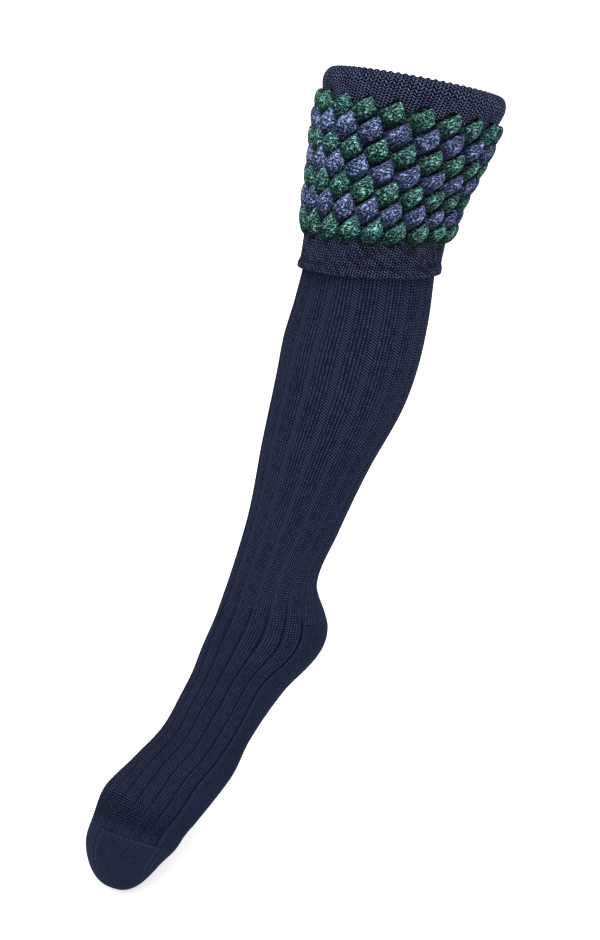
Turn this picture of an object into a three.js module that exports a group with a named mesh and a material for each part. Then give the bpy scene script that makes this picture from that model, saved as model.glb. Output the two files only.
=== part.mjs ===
// A long knitted sock with a turned-down bobble cuff, in the shape that it has when worn.
// Millimetres, +Z up. The origin is the middle of the top fold, where the sock is held.
// The leg runs down and towards -X, the foot points further towards -X, and Y runs across it.

import * as THREE from "three";

// Driving sizes of the leg and foot, in millimetres
const LEG_LENGTH = 446;         // from the fold, along the leg, to where the foot line crosses it
const FOOT_LENGTH = 252;        // from the back of the heel to the tip of the toes
const HEEL_REACH = 46;          // the back of the heel behind the crossing of leg and foot
const TOE_LENGTH = 62;          // from the knuckle bend to the tip of the toes
const TOE_CAP_LENGTH = 45;      // from the toe seam to the tip of the toes
const CALF_WIDTH = 98;          // across the leg at the calf
const ANKLE_WIDTH = 67;         // across the leg just above the ankle
const FOOT_WIDTH = 84;          // across the ball of the foot
const FOOT_HEIGHT = 54;         // from the sole to the instep at the ball of the foot
const ANKLE_BEND_RADIUS = 150;  // of the middle line, round the front of the ankle
const KNUCKLE_BEND_RADIUS = 75; // of the middle line, where the toes turn down

// Directions of the middle line, in degrees from straight down towards -X
const LEG_LEAN = 20.5;
const FOOT_PITCH = 48;
const TOE_PITCH = 36;

// Driving sizes of the cuff, in millimetres
const CUFF_DEPTH = 134;         // from the fold to the lower edge of the welt
const FOLD_BAND_DEPTH = 20;     // from the fold to the first row of bobbles
const WELT_DEPTH = 25;          // from the last row of bobbles to the lower edge
const FOLD_ROLL_DEPTH = 13;     // how far down the soft roll of the fold reaches
const BOBBLE_RISE = 5.5;        // of a bobble above the cuff
const BOBBLE_POINT = 3.6;       // how far the leaf shape of a bobble reaches up and down
const ROLL_SOFTNESS = 0.7;      // how far the roll swells out below its shoulder, and draws in above
const WELT_BULGE = 1.2;         // of the rolled lower edge

// Knit, in millimetres
const LEG_WALL = 2;
const CUFF_WALL = 3;
const CUFF_CLEARANCE = 0.6;     // between the leg and the cuff that hangs round it
const CUFF_FLARE = 5;           // further clearance at the fold, none at the welt
const PIECE_GAP = 0.3;          // between pieces that are knitted to each other
const RIB_DEPTH = 1.2;          // of the grooves between the flat ribs
const RIB_FADE = 20;            // over which the grooves fade in under the cuff

// Counts
const RIBS = 16;
const BOBBLE_ROWS = 7;
const BOBBLES_PER_ROW = 20;

// Share of a rib's pitch that the groove takes
const GROOVE_SHARE = 0.26;

// Half of the ribs run on over the instep. Their two outer edges, as turns in degrees from the
// front towards +Y, on the leg and on the foot, and the shares of the length between fold and
// toe seam over which they change from one to the other
const NEAR_EDGE_ON_LEG = -104.5;
const NEAR_EDGE_ON_FOOT = -64;
const FAR_EDGE_ON_LEG = 75.5;
const FAR_EDGE_ON_FOOT = 72;
const EDGE_SHIFT_START = 0.43;
const EDGE_SHIFT_END = 0.93;

// The ribs sway towards +Y at the waist of the foot: by how many degrees, at which share of the
// same length, and over what share of it to either side
const RIB_SWAY = 7;
const RIB_SWAY_AT = 0.87;
const RIB_SWAY_REACH = 0.04;

// Turn of the first row of bobbles, and how much further each next row is turned, in degrees
const BOBBLE_TURN = 1.5;
const BOBBLE_TWIST = 1.8;

// Share of the fold's roll where its shoulders lie, and of a bobble's height where its own lie
const ROLL_SHOULDER = 0.2;
const BOBBLE_SHOULDER = 0.32;

// Cross sections. "at" is a share of the stretch that the table stands for. "deep" is half the
// section from front to back and "wide" half of it across, as shares of half the named sizes.
// "back" shifts its middle towards the calf and sole, and "over" towards +Y, as shares of the
// same half sizes. "tilt" lowers the front of the section and "skew" its +Y side, in degrees.
const LEG_SECTIONS = [
  { name: "fold", at: 0.00, deep: 1.16, wide: 1.17, back: 0.00, tilt: 4, skew: 3 },
  { name: "upper cuff", at: 0.10, deep: 1.10, wide: 1.11, back: 0.00, tilt: 4, skew: 1 },
  { name: "middle of cuff", at: 0.20, deep: 1.00, wide: 1.00, back: -0.02, tilt: 6, skew: 2 },
  { name: "lower cuff", at: 0.30, deep: 0.96, wide: 0.96, back: 0.07, tilt: 13, skew: 6 },
  { name: "below cuff", at: 0.40, deep: 1.01, wide: 1.02, back: 0.19, tilt: 7, skew: 3 },
  { name: "upper calf", at: 0.48, deep: 1.04, wide: 1.05, back: 0.22, tilt: 2, skew: 0 },
  { name: "calf", at: 0.56, deep: 0.99, wide: 1.00, back: 0.22, tilt: 0, skew: 0 },
  { name: "lower calf", at: 0.68, deep: 0.84, wide: 0.85, back: 0.10, tilt: 0, skew: 0 },
  { name: "shin", at: 0.81, deep: 0.71, wide: 0.71, back: 0.04, tilt: 0, skew: 0 },
];
const ANKLE_SECTIONS = [
  { name: "above ankle", at: -0.50, deep: 0.98, wide: 0.97, back: -0.04, tilt: 0, skew: 0 },
  { name: "heel", at: 0.12, deep: 1.47, wide: 1.14, back: 0.34, tilt: 0, skew: 0 },
  { name: "front of heel", at: 0.66, deep: 1.16, wide: 1.00, back: 0.02, tilt: 0, skew: 0 },
];
const FOOT_SECTIONS = [
  { name: "arch", at: 0.12, deep: 0.92, wide: 0.88, back: 0.10, over: 0.00, tilt: 0, skew: 0 },
  { name: "waist", at: 0.36, deep: 0.89, wide: 0.91, back: 0.27, over: -0.02, tilt: 0, skew: 3 },
  { name: "ball", at: 0.58, deep: 1.08, wide: 0.93, back: 0.31, over: 0.08, tilt: 0, skew: 8 },
  { name: "knuckles", at: 0.82, deep: 0.97, wide: 1.04, back: 0.08, over: 0.09, tilt: 0, skew: 12 },
];
const TOE_SECTIONS = [
  { name: "toe seam", at: 0.00, deep: 0.99, wide: 0.97, back: 0.04, over: 0.05, tilt: 0, skew: 15 },
  { name: "toes", at: 0.40, deep: 0.86, wide: 0.88, back: 0.03, over: 0.08, tilt: 0, skew: 16 },
  { name: "tip", at: 1.00, deep: 0.60, wide: 0.76, back: 0.14, over: 0.00, tilt: 0, skew: 16 },
];
const TOE_ROUNDING = 2.6;       // how square the toe cap is: 2 is an ellipse

// Share of the ankle bend where the back ribs stop and the heel begins, and of the foot's
// straight stretch where the heel becomes the sole
const HEEL_TOP_SHARE = -0.10;
const HEEL_FRONT_SHARE = 0.30;

// Bands of the leg from the fold down. "end" is a share of the length from fold to heel.
const LEG_BANDS = [
  { name: "leg_top", end: 0.31, rows: 4, liningRows: 3 },
  { name: "calf", end: 0.66, rows: 5, liningRows: 4 },
  { name: "shin", end: 1.00, rows: 6, liningRows: 4 },
];

// Number of rows and columns that the other solids are drawn with
const SOLE_ROWS = 6;
const SOLE_COLUMNS = 16;
const HEEL_ROWS = 5;
const TOE_ROWS = 6;
const TOE_COLUMNS = 32;
const POINTS_PER_BOBBLE = 4;
const POINTS_PER_BORDER = 2;

const radians = THREE.MathUtils.degToRad;

// The middle line: straight leg, bend at the ankle, straight foot, bend at the knuckles, toes
const ankleTurn = radians(FOOT_PITCH - LEG_LEAN);
const knuckleTurn = radians(TOE_PITCH - FOOT_PITCH);
const ankleTangent = ANKLE_BEND_RADIUS * Math.tan(ankleTurn / 2);
const knuckleTangent = KNUCKLE_BEND_RADIUS * Math.tan(Math.abs(knuckleTurn) / 2);
const legRun = LEG_LENGTH - ankleTangent;
const ankleRun = ANKLE_BEND_RADIUS * ankleTurn;
const footRun = FOOT_LENGTH - HEEL_REACH - ankleTangent - TOE_LENGTH - knuckleTangent;
const knuckleRun = KNUCKLE_BEND_RADIUS * Math.abs(knuckleTurn);
const toeRun = TOE_LENGTH - knuckleTangent;
const PATH = [
  { length: legRun, turn: 0 },
  { length: ankleRun, turn: ankleTurn },
  { length: footRun, turn: 0 },
  { length: knuckleRun, turn: knuckleTurn },
  { length: toeRun, turn: 0 },
];
const pathLength = PATH.reduce((sum, piece) => sum + piece.length, 0);
const footStart = legRun + ankleRun;
const toeSeam = pathLength - TOE_CAP_LENGTH;
const heelTop = legRun + HEEL_TOP_SHARE * ankleRun;
const heelFront = footStart + HEEL_FRONT_SHARE * footRun;

// Direction of the middle line for an angle from straight down, and the front side of it
function downTowardsToes(angle) {
  return new THREE.Vector3(-Math.sin(angle), 0, -Math.cos(angle));
}

function frontSide(angle) {
  return new THREE.Vector3(-Math.cos(angle), 0, Math.sin(angle));
}

// Point and angle of the middle line at a distance from the fold
function middleLine(distance) {
  const point = new THREE.Vector3();
  let angle = radians(LEG_LEAN);
  let left = distance;
  for (const [index, piece] of PATH.entries()) {
    const last = index === PATH.length - 1;
    const run = last ? left : Math.min(left, piece.length);
    const turned = piece.turn * run / piece.length;
    const chordAngle = angle + turned / 2;
    const chord = turned === 0 ? run : run * Math.sin(turned / 2) / (turned / 2);
    point.addScaledVector(downTowardsToes(chordAngle), chord);
    angle += turned;
    left -= run;
    if (left <= 0 && !last) break;
  }
  return { point, angle };
}

// Sections of the whole sock in millimetres along the middle line, from the tables above
function sizedSections() {
  const sized = (rows, start, run, depth, width) => rows.map((row) => ({
    distance: start + row.at * run,
    deep: row.deep * depth / 2,
    wide: row.wide * width / 2,
    back: row.back * depth / 2,
    over: (row.over ?? 0) * width / 2,
    tilt: radians(row.tilt),
    skew: radians(row.skew),
  }));
  return [
    ...sized(LEG_SECTIONS, 0, legRun, CALF_WIDTH, CALF_WIDTH),
    ...sized(ANKLE_SECTIONS, legRun, ankleRun, ANKLE_WIDTH, ANKLE_WIDTH),
    ...sized(FOOT_SECTIONS, footStart, toeSeam - footStart, FOOT_HEIGHT, FOOT_WIDTH),
    ...sized(TOE_SECTIONS, toeSeam, TOE_CAP_LENGTH, FOOT_HEIGHT, FOOT_WIDTH),
  ];
}
const SECTIONS = sizedSections();

// Slope of one column at a section, from its neighbours
function columnSlope(column, index) {
  const before = SECTIONS[Math.max(index - 1, 0)];
  const after = SECTIONS[Math.min(index + 1, SECTIONS.length - 1)];
  return (after[column] - before[column]) / (after.distance - before.distance);
}

// One column between two sections, as a smooth cubic
function smoothColumn(column, index, share) {
  const start = SECTIONS[index];
  const end = SECTIONS[index + 1];
  const span = end.distance - start.distance;
  const square = share * share;
  const cube = square * share;
  return (2 * cube - 3 * square + 1) * start[column]
    + (cube - 2 * square + share) * span * columnSlope(column, index)
    + (3 * square - 2 * cube) * end[column]
    + (cube - square) * span * columnSlope(column, index + 1);
}

// The outer section at any distance
function sectionAt(distance) {
  let index = SECTIONS.findIndex((section) => section.distance > distance) - 1;
  if (index < 0) index = distance < SECTIONS[0].distance ? 0 : SECTIONS.length - 2;
  const start = SECTIONS[index];
  const end = SECTIONS[index + 1];
  const share = (distance - start.distance) / (end.distance - start.distance);
  const columns = Object.keys(start).filter((column) => column !== "distance");
  return Object.fromEntries(columns.map((column) => [column, smoothColumn(column, index, share)]));
}

// How much of a section is left inside the rounded toe cap, 1 at the seam and 0 at the tip
function toeShare(distance) {
  const along = THREE.MathUtils.clamp((distance - toeSeam) / TOE_CAP_LENGTH, 0, 1);
  return Math.pow(1 - Math.pow(along, TOE_ROUNDING), 1 / TOE_ROUNDING);
}

// Point on the sock at a distance down the middle line and a turn round it, where 0 is the front
// and a quarter turn is +Y. "out" moves it away from the outer surface, square to the knit.
function sockPoint(distance, turn, out) {
  const { point, angle } = middleLine(distance);
  const section = sectionAt(distance);
  const left = toeShare(distance);
  const cosine = Math.cos(turn);
  const sine = Math.sin(turn);
  const depth = section.deep * left;
  const width = section.wide * left;
  const square = new THREE.Vector2(cosine * width, sine * depth);
  if (square.lengthSq() === 0) square.set(cosine, sine);
  square.normalize();
  const forward = cosine * depth + square.x * out;
  const across = sine * width + square.y * out;
  const down = forward * Math.sin(section.tilt) + across * Math.sin(section.skew);
  point.addScaledVector(frontSide(angle), forward * Math.cos(section.tilt) - section.back);
  point.addScaledVector(downTowardsToes(angle), down);
  point.y += section.over + across * Math.cos(section.skew);
  return point;
}

// Turn of a place in the knit, counted in ribs from the near edge of the instep: the first half
// of the ribs lies over the instep, the second half behind
function ribTurn(distance, place) {
  const along = distance / toeSeam;
  const shift = THREE.MathUtils.smoothstep(along, EDGE_SHIFT_START, EDGE_SHIFT_END);
  const sway = RIB_SWAY * Math.exp(-Math.pow((along - RIB_SWAY_AT) / RIB_SWAY_REACH, 2));
  const near = radians(THREE.MathUtils.lerp(NEAR_EDGE_ON_LEG, NEAR_EDGE_ON_FOOT, shift) + sway);
  const far = radians(THREE.MathUtils.lerp(FAR_EDGE_ON_LEG, FAR_EDGE_ON_FOOT, shift) + sway);
  const half = RIBS / 2;
  if (place <= half) return near + (far - near) * place / half;
  return far + (near + 2 * Math.PI - far) * (place - half) / half;
}

// Depth of the grooves between ribs: full below the cuff, none under it
function grooveDepth(distance, place) {
  const inGroove = Math.abs(place - Math.round(place)) < GROOVE_SHARE / 4;
  const fade = THREE.MathUtils.smoothstep(distance, CUFF_DEPTH - 2 * RIB_FADE, CUFF_DEPTH - RIB_FADE);
  return inGroove ? RIB_DEPTH * fade : 0;
}

// Places of the columns of a ribbed piece: the middle and edges of each groove, the middle of
// each rib
function ribPlaces(count) {
  const edge = GROOVE_SHARE / 2;
  const places = [];
  for (let rib = 0; rib < count; rib += 1) places.push(rib, rib + edge, rib + 0.5, rib + 1 - edge);
  return [...places, count];
}

// Even steps from one value to another, both included
function steps(from, to, count) {
  return Array.from({ length: count + 1 }, (_, index) => from + (to - from) * index / count);
}

// Geometry from points and triangles, turned outwards
function solidGeometry(points, triangles) {
  let volume = 0;
  for (const [a, b, c] of triangles) {
    volume += points[a].dot(points[b].clone().cross(points[c]));
  }
  const facing = volume > 0 ? triangles : triangles.map(([a, b, c]) => [a, c, b]);
  const geometry = new THREE.BufferGeometry();
  const places = points.flatMap((point) => [point.x, point.y, point.z]);
  geometry.setAttribute("position", new THREE.Float32BufferAttribute(places, 3));
  geometry.setIndex(facing.flat());
  geometry.computeVertexNormals();
  return geometry;
}

// Two triangles of a four-sided face
function quad(a, b, c, d) {
  return [[a, b, c], [a, c, d]];
}

// Triangles between two closed rows of points, where one may have twice the points of the other
function stripTriangles(first, firstCount, second, secondCount) {
  const triangles = [];
  const fewer = Math.min(firstCount, secondCount);
  for (let index = 0; index < fewer; index += 1) {
    const next = (index + 1) % fewer;
    if (firstCount === secondCount) {
      triangles.push(...quad(first + index, first + next, second + next, second + index));
      continue;
    }
    const [fine, coarse] = firstCount > secondCount ? [first, second] : [second, first];
    const [start, middle, end] = [2 * index, 2 * index + 1, 2 * next].map((point) => fine + point);
    const fan = [
      [start, middle, coarse + index],
      [middle, coarse + next, coarse + index],
      [middle, end, coarse + next],
    ];
    triangles.push(...(firstCount > secondCount ? fan : fan.map((corners) => corners.reverse())));
  }
  return triangles;
}

// A ring of knit: each loop is a row of points round the sock, and the loops close on themselves
function ringGeometry(loops) {
  const starts = loops.map((_, row) => loops.slice(0, row).reduce((sum, loop) => sum + loop.length, 0));
  const triangles = loops.flatMap((loop, row) => {
    const next = (row + 1) % loops.length;
    return stripTriangles(starts[row], loop.length, starts[next], loops[next].length);
  });
  return solidGeometry(loops.flat(), triangles);
}

// A panel of knit with four edges, from an outer and an inner grid of points
function panelGeometry(outer, inner) {
  const rows = outer.length;
  const columns = outer[0].length;
  const behind = rows * columns;
  const point = (row, column) => row * columns + column;
  const triangles = [];
  for (let row = 0; row + 1 < rows; row += 1) {
    for (let column = 0; column + 1 < columns; column += 1) {
      const start = point(row, column);
      const corners = [start, start + 1, start + 1 + columns, start + columns];
      triangles.push(...quad(...corners));
      triangles.push(...quad(...corners.reverse().map((corner) => corner + behind)));
    }
  }
  const rim = [];
  for (let column = 0; column + 1 < columns; column += 1) rim.push(point(0, column));
  for (let row = 0; row + 1 < rows; row += 1) rim.push(point(row, columns - 1));
  for (let column = columns - 1; column > 0; column -= 1) rim.push(point(rows - 1, column));
  for (let row = rows - 1; row > 0; row -= 1) rim.push(point(row, 0));
  for (const [index, corner] of rim.entries()) {
    const next = rim[(index + 1) % rim.length];
    triangles.push(...quad(next, corner, corner + behind, next + behind));
  }
  return solidGeometry([...outer.flat(), ...inner.flat()], triangles);
}

// A cap of knit: rows of points round the sock from the outer tip to the inner tip
function capGeometry(outerTip, rows, innerTip) {
  const columns = rows[0].length;
  const points = [outerTip, ...rows.flat(), innerTip];
  const last = rows.length - 1;
  const point = (row, column) => 1 + row * columns + column % columns;
  const triangles = [];
  for (let column = 0; column < columns; column += 1) {
    const next = column + 1;
    triangles.push([0, point(0, next), point(0, column)]);
    triangles.push([points.length - 1, point(last, column), point(last, next)]);
    for (let row = 0; row < last; row += 1) {
      const below = row + 1;
      triangles.push(...quad(point(row, column), point(row, next), point(below, next), point(below, column)));
    }
  }
  return solidGeometry(points, triangles);
}

// Finishes
const navyKnit = () => new THREE.MeshStandardMaterial({ color: 0x1b2746, roughness: 0.9, metalness: 0 });
const navyCuffKnit = () => new THREE.MeshStandardMaterial({ color: 0x1a2340, roughness: 0.95, metalness: 0 });
const greenKnit = () => new THREE.MeshStandardMaterial({ color: 0x14453b, roughness: 0.95, metalness: 0 });
const blueKnit = () => new THREE.MeshStandardMaterial({ color: 0x3a4a7c, roughness: 0.95, metalness: 0 });

function namedMesh(name, geometry, material) {
  const mesh = new THREE.Mesh(geometry, material);
  mesh.name = name;
  return mesh;
}

// Stand-off of the faces of the knit from the outer surface
const ribbed = (distance, place) => -grooveDepth(distance, place);
const plain = () => 0;
const lining = () => -LEG_WALL;

// Points at one distance for a list of places in the knit
function knitRow(distance, places, out) {
  return places.map((place) => sockPoint(distance, ribTurn(distance, place), out(distance, place)));
}

// The ribbed leg in bands, open at the fold and at the ankle
function makeLeg() {
  const places = ribPlaces(RIBS).slice(0, -1);
  const liningPlaces = places.filter((_, index) => index % 2 === 0);
  const legTop = FOLD_ROLL_DEPTH + PIECE_GAP / 2;
  const edges = [legTop, ...LEG_BANDS.map((band) => legTop + band.end * (heelTop - legTop))];
  return LEG_BANDS.map((band, index) => {
    const top = edges[index] + PIECE_GAP / 2;
    const bottom = edges[index + 1] - PIECE_GAP / 2;
    const outside = steps(top, bottom, band.rows).map((distance) => knitRow(distance, places, ribbed));
    const inside = steps(bottom, top, band.liningRows).map((distance) => (
      knitRow(distance, liningPlaces, lining)
    ));
    return namedMesh(band.name, ringGeometry([...outside, ...inside]), navyKnit());
  });
}

// A panel of the foot between two distances and over some places in the knit
function makeFootPanel(name, distances, places, finish) {
  const outer = distances.map((distance) => knitRow(distance, places, finish));
  const inner = distances.map((distance) => knitRow(distance, places, lining));
  return namedMesh(name, panelGeometry(outer, inner), navyKnit());
}

// The ribbed instep, the plain heel and the plain sole
function makeFoot() {
  const half = PIECE_GAP / 2;
  const side = half * RIBS / (Math.PI * FOOT_WIDTH / 2);
  const instepPlaces = ribPlaces(RIBS / 2);
  instepPlaces[0] += side;
  instepPlaces[instepPlaces.length - 1] -= side;
  const solePlaces = steps(RIBS / 2 + side, RIBS - side, SOLE_COLUMNS);
  const heelRows = steps(heelTop + half, heelFront - half, HEEL_ROWS);
  const soleRows = steps(heelFront + half, toeSeam - half, SOLE_ROWS);
  const instepRows = [...heelRows.slice(0, -1), heelFront, ...soleRows.slice(1)];
  return [
    makeFootPanel("instep", instepRows, instepPlaces, ribbed),
    makeFootPanel("heel", heelRows, solePlaces, plain),
    makeFootPanel("sole", soleRows, solePlaces, plain),
  ];
}

// The plain toe cap, closed at the tip
function makeToe() {
  const turns = steps(0, 2 * Math.PI, TOE_COLUMNS).slice(0, -1);
  const start = toeSeam + PIECE_GAP / 2;
  const shares = Array.from({ length: TOE_ROWS }, (_, row) => Math.sin(Math.PI / 2 * row / TOE_ROWS));
  const distances = shares.map((share) => start + share * (pathLength - start));
  const outer = distances.map((distance) => turns.map((turn) => sockPoint(distance, turn, 0)));
  const innerEnd = pathLength - LEG_WALL;
  const innerDistances = shares.map((share) => start + share * (innerEnd - start));
  const inner = innerDistances.map((distance) => (
    turns.map((turn) => sockPoint(distance, turn, -LEG_WALL))
  ));
  inner.length = TOE_ROWS - 1;
  const outerTip = sockPoint(pathLength, 0, 0);
  const innerTip = sockPoint(innerEnd, 0, 0).setY(outerTip.y);
  return namedMesh("toe", capGeometry(outerTip, [...outer.reverse(), ...inner], innerTip), navyKnit());
}

// How far the inner face of the cuff stands off the leg, wide at the soft fold
function cuffInner(distance) {
  const below = THREE.MathUtils.clamp(distance / CUFF_DEPTH, 0, 1);
  return CUFF_CLEARANCE + CUFF_FLARE * (1 - below) * (1 - below);
}

function cuffOuter(distance) {
  return cuffInner(distance) + CUFF_WALL;
}

const bobbleBandDepth = CUFF_DEPTH - FOLD_BAND_DEPTH - WELT_DEPTH;
const rowPitch = bobbleBandDepth / BOBBLE_ROWS;
const borderPlaces = steps(0, BOBBLES_PER_ROW, BOBBLES_PER_ROW * POINTS_PER_BORDER).slice(0, -1);
const bobblePlaces = steps(0, BOBBLES_PER_ROW, BOBBLES_PER_ROW * POINTS_PER_BOBBLE).slice(0, -1);

// Turn of a place in the cuff's knit, counted in bobbles; the cuff is twisted a little
function cuffTurn(distance, place) {
  const rows = (distance - FOLD_BAND_DEPTH) / rowPitch - 0.5;
  return place * 2 * Math.PI / BOBBLES_PER_ROW + radians(BOBBLE_TURN + BOBBLE_TWIST * rows);
}

// Place counted from the middle of the nearest bobble of a row, the rows being staggered
function bobblePlace(row, place) {
  return row % 2 === 0 ? place : place + 0.5;
}

// Distance of the border above a row; the leaf shapes of two staggered rows fit each other there
function borderAbove(row, place) {
  const point = -BOBBLE_POINT * Math.cos(2 * Math.PI * bobblePlace(row, place));
  return FOLD_BAND_DEPTH + row * rowPitch + point;
}

// Rise of a bobble: full in its middle, low in the gap between two
function bobbleRise(row, place) {
  return BOBBLE_RISE * Math.pow(Math.cos(Math.PI * bobblePlace(row, place)), 2);
}

// One loop of points round the cuff, at a distance and a stand-off that may change round it
function cuffLoop(distanceAt, out, places = borderPlaces) {
  return places.map((place) => {
    const distance = distanceAt(place);
    return sockPoint(distance, cuffTurn(distance, place), out(distance, place));
  });
}

// The same distance all round
const level = (distance) => () => distance;

// One row of bobbles, a ring of knit with a leaf-shaped bump for each
function makeBobbleRow(row) {
  const top = (place) => borderAbove(row, place) + PIECE_GAP / 2;
  const bottom = (place) => borderAbove(row + 1, place) - PIECE_GAP / 2;
  const raised = (distance, place) => cuffOuter(distance) + bobbleRise(row, place);
  const between = (share) => (place) => THREE.MathUtils.lerp(top(place), bottom(place), share);
  const loops = [
    cuffLoop(bottom, cuffInner),
    cuffLoop(bottom, cuffOuter),
    cuffLoop(between(1 - BOBBLE_SHOULDER), raised, bobblePlaces),
    cuffLoop(between(BOBBLE_SHOULDER), raised, bobblePlaces),
    cuffLoop(top, cuffOuter),
    cuffLoop(top, cuffInner),
  ];
  const material = row % 2 === 0 ? greenKnit() : blueKnit();
  return namedMesh(`bobble_row_${row + 1}`, ringGeometry(loops), material);
}

// The fold: the knit comes up inside, rolls over and hangs down outside as a plain band
function makeFold() {
  const bottom = (place) => borderAbove(0, place) - PIECE_GAP / 2;
  const shoulder = FOLD_ROLL_DEPTH * ROLL_SHOULDER;
  const throat = () => cuffInner(0) / 2;
  const loops = [
    cuffLoop(bottom, cuffInner),
    cuffLoop(bottom, cuffOuter),
    cuffLoop(level(FOLD_ROLL_DEPTH), (distance) => cuffOuter(distance) + ROLL_SOFTNESS),
    cuffLoop(level(shoulder), (distance) => cuffOuter(distance) - ROLL_SOFTNESS),
    cuffLoop(level(0), throat),
    cuffLoop(level(shoulder), lining),
    cuffLoop(level(FOLD_ROLL_DEPTH), lining),
    cuffLoop(level(FOLD_ROLL_DEPTH), plain),
    cuffLoop(level(CUFF_WALL), throat),
  ];
  return namedMesh("cuff_fold", ringGeometry(loops), navyCuffKnit());
}

// The welt that closes the cuff below, with a soft rolled edge
function makeWelt() {
  const top = (place) => borderAbove(BOBBLE_ROWS, place) + PIECE_GAP / 2;
  const loops = [
    cuffLoop(top, cuffInner),
    cuffLoop(level(CUFF_DEPTH), cuffInner),
    cuffLoop(level(CUFF_DEPTH), cuffOuter),
    cuffLoop(level(CUFF_DEPTH - CUFF_WALL), (distance) => cuffOuter(distance) + WELT_BULGE),
    cuffLoop(top, cuffOuter),
  ];
  return namedMesh("cuff_welt", ringGeometry(loops), navyCuffKnit());
}

const sock = new THREE.Group();
sock.add(...makeLeg(), ...makeFoot(), makeToe(), makeFold());
for (let row = 0; row < BOBBLE_ROWS; row += 1) sock.add(makeBobbleRow(row));
sock.add(makeWelt());

export default sock;
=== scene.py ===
"""Looks of a long knitted sock with a turned-down bobble cuff, in the shape that it has when worn.

Lengths are in millimetres up to the last step of each mesh, which turns them into metres.
"Distance" runs down the middle line of the sock from its top fold, and "turn" goes round it,
in degrees, from the front towards +Y.
"""

import logging
import math
from collections.abc import Callable
from dataclasses import dataclass, field
from enum import Enum

import bpy
import numpy as np
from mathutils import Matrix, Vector

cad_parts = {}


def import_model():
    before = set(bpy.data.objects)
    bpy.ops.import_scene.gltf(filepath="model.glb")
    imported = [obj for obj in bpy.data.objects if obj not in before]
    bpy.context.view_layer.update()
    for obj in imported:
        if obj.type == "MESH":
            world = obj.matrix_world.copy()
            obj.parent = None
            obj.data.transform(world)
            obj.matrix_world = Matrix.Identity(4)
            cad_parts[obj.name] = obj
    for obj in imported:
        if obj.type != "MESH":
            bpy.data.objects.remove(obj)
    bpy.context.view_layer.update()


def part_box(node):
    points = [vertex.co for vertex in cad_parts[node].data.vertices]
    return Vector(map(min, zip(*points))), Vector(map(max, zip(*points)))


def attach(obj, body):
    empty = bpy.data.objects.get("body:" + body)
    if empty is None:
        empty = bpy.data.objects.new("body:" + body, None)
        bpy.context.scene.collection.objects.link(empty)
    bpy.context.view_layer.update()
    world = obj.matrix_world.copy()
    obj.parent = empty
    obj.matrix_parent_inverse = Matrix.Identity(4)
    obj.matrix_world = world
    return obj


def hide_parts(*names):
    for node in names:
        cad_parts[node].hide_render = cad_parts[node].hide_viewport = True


LOG = logging.getLogger("sock")
METRES = 0.001
KNIT_MAP = "knit"
# The point attribute that holds each piece's painted light and shade.
PAINTED_LIGHT = "painted_light"
COLUMNS_PER_RIB = 7
FULL_TURN = 2 * math.pi
TINY = 1e-9
SEWING_GAP = 0.00002
WHITE = (1.0, 1.0, 1.0, 1.0)
SHARP_ANGLE = math.radians(60.0)
Array = np.ndarray


class Stretch(Enum):
    """The stretches of the sock that the sections are counted along."""

    LEG = "leg"
    ANKLE = "ankle"
    FOOT = "foot"
    TOE = "toe"


class Stitch(Enum):
    """How the knit of a piece looks."""

    PLAIN = "plain"
    RIBBED = "ribbed"
    FORKED = "forked"
    SPECKLED = "speckled"


@dataclass(frozen=True)
class Section:
    """One cross section, in shares of the named sizes of its stretch, with its slants in degrees."""

    stretch: Stretch
    at: float
    deep: float
    wide: float
    back: float
    over: float = 0.0
    tilt: float = 0.0
    skew: float = 0.0


SECTIONS = (
    Section(Stretch.LEG, 0.00, 1.16, 1.17, 0.00, tilt=4, skew=3),
    Section(Stretch.LEG, 0.10, 1.10, 1.11, 0.00, tilt=4, skew=1),
    Section(Stretch.LEG, 0.20, 1.00, 1.00, -0.02, tilt=6, skew=2),
    Section(Stretch.LEG, 0.30, 0.96, 0.96, 0.07, tilt=13, skew=6),
    Section(Stretch.LEG, 0.40, 1.01, 1.02, 0.19, tilt=7, skew=3),
    Section(Stretch.LEG, 0.48, 1.04, 1.05, 0.22, tilt=2),
    Section(Stretch.LEG, 0.56, 0.99, 1.00, 0.22),
    Section(Stretch.LEG, 0.68, 0.84, 0.85, 0.10),
    Section(Stretch.LEG, 0.81, 0.71, 0.71, 0.04),
    Section(Stretch.ANKLE, -0.50, 0.98, 0.97, -0.04),
    Section(Stretch.ANKLE, 0.12, 1.47, 1.14, 0.34),
    Section(Stretch.ANKLE, 0.66, 1.16, 1.00, 0.02),
    Section(Stretch.FOOT, 0.12, 0.92, 0.88, 0.10),
    Section(Stretch.FOOT, 0.36, 0.89, 0.91, 0.27, -0.02, skew=3),
    Section(Stretch.FOOT, 0.58, 1.08, 0.93, 0.31, 0.08, skew=8),
    Section(Stretch.FOOT, 0.82, 0.97, 1.04, 0.08, 0.09, skew=12),
    Section(Stretch.TOE, 0.00, 0.99, 0.97, 0.04, 0.05, skew=15),
    Section(Stretch.TOE, 0.40, 0.86, 0.88, 0.03, 0.08, skew=16),
    Section(Stretch.TOE, 1.00, 0.60, 0.76, 0.14, skew=16),
)


def smoothstep(value: Array, low: float, high: float) -> Array:
    """Returns how far a value has come from low to high, from 0 to 1, eased at both ends."""
    share = np.clip((value - low) / (high - low), 0.0, 1.0)
    return share * share * (3.0 - 2.0 * share)


def between(share: Array, first: Array | float, second: Array | float) -> Array:
    """Returns numbers between two others: share 0 gives the first, 1 the second."""
    return first + share * (second - first)


def bell(value: Array, width: float) -> Array:
    """Returns a smooth bump that is 1 where a value is 0 and fades over a width."""
    return np.exp(-((value / width) ** 2))


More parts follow.
